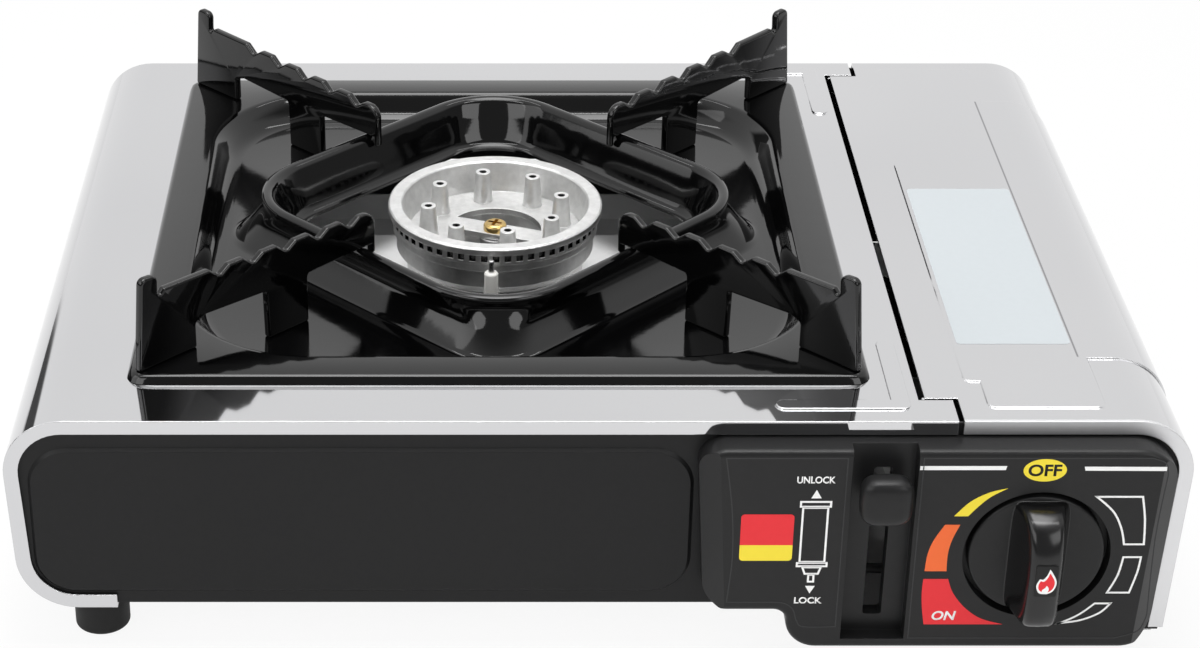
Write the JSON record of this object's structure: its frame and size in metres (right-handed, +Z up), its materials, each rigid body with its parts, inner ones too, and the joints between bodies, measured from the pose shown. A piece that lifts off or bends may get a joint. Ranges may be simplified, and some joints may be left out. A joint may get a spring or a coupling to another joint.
{
  "type": "portable gas stove",
  "caption": "Low table stove with a polished case, black drip pan with pot supports, ring burner, control knob, lock lever and a lidded bay for a lying gas cartridge.",
  "frame": {"origin": "on the ground, under the middle of the stove's box", "axes": "+X to the user's right, along the long side; +Y away from the user; +Z up"},
  "size_m": [0.34, 0.2806, 0.11],
  "materials": {
    "polished_steel": "mirror polished",
    "plain_steel": "satin",
    "black_paint": "satin",
    "black_enamel": "gloss",
    "black_plastic": "fine grain",
    "cast_aluminium": "sand cast",
    "zinc_casting": "die cast",
    "brass": "turned",
    "white_ceramic": "glazed",
    "black_rubber": "matt",
    "grey_rubber": "matt",
    "lead_jacket": "satin"
  },
  "bodies": {
    "case": {"body_shell": "polished_steel", "front_panel": "black_paint", "rear_panel": "black_paint", "base_plate": "plain_steel", "control_panel": "black_plastic", "igniter_body": "black_plastic", "lever_bracket": "plain_steel", "lever_pivot_pin": "plain_steel", "yoke_guide_pins": "plain_steel", "partition_plate": "plain_steel", "cartridge_cradle": "plain_steel", "regulator_body": "zinc_casting", "regulator_cover": "zinc_casting", "regulator_diaphragm": "grey_rubber", "regulator_spring": "plain_steel", "inlet_seal": "black_rubber", "regulator_bracket": "plain_steel", "regulator_screws": "plain_steel", "collar_key": "plain_steel", "gas_nozzle": "brass", "mixing_tube": "plain_steel", "burner_body": "cast_aluminium", "burner_cap": "cast_aluminium", "burner_screw": "brass", "burner_bracket": "plain_steel", "burner_bracket_screws": "plain_steel", "electrode_clip": "plain_steel", "electrode_ceramic": "white_ceramic", "electrode_tip": "plain_steel", "ignition_lead": "lead_jacket", "lid_hinge_pins": "plain_steel", "foot_front_left": "black_rubber", "foot_front_right": "black_rubber", "foot_rear_left": "black_rubber", "foot_rear_right": "black_rubber", "foot_screws": "plain_steel", "rear_panel_screws": "plain_steel"},
    "lid": {"cartridge_lid": "polished_steel"},
    "knob": {"control_knob": "black_plastic", "valve_spindle": "brass", "igniter_cam": "black_plastic"},
    "plunger": {"igniter_plunger": "plain_steel"},
    "lever": {"lever_arm": "plain_steel", "lever_knob": "black_plastic"},
    "yoke": {"cartridge_yoke": "plain_steel"},
    "pan": {"drip_pan": "black_enamel", "pot_support_front_left": "black_enamel", "pot_support_front_right": "black_enamel", "pot_support_rear_left": "black_enamel", "pot_support_rear_right": "black_enamel"}
  },
  "joints": [
    {"name": "lid_hinge", "type": "hinge", "parent": "case", "child": "lid", "pos_m": [0.0965, 0.0118, 0.0758], "axis": [0, -1, 0], "range_deg": [0, 95]},
    {"name": "knob_turn", "type": "hinge", "parent": "case", "child": "knob", "pos_m": [0.1254, -0.1167, 0.039], "axis": [0, -1, 0], "range_deg": [0, 135]},
    {"name": "plunger_slide", "type": "slide", "parent": "case", "child": "plunger", "axis": [-1, 0, 0], "range_m": [0, 0.004]},
    {"name": "lever_press", "type": "hinge", "parent": "case", "child": "lever", "pos_m": [0.0805, -0.05324, 0.04465], "axis": [1, 0, 0], "range_deg": [0, 22.54]},
    {"name": "yoke_slide", "type": "slide", "parent": "case", "child": "yoke", "axis": [0, -1, 0], "range_m": [0, 0.005]},
    {"name": "pan_lift", "type": "slide", "parent": "case", "child": "pan", "axis": [0, 0, 1], "range_m": [0, 0.06]}
  ],
  "couplings": [
    {"joint": "plunger_slide", "follows": "knob_turn", "m_per_rad": 0.0016976},
    {"joint": "yoke_slide", "follows": "lever_press", "m_per_rad": 0.012708}
  ]
}
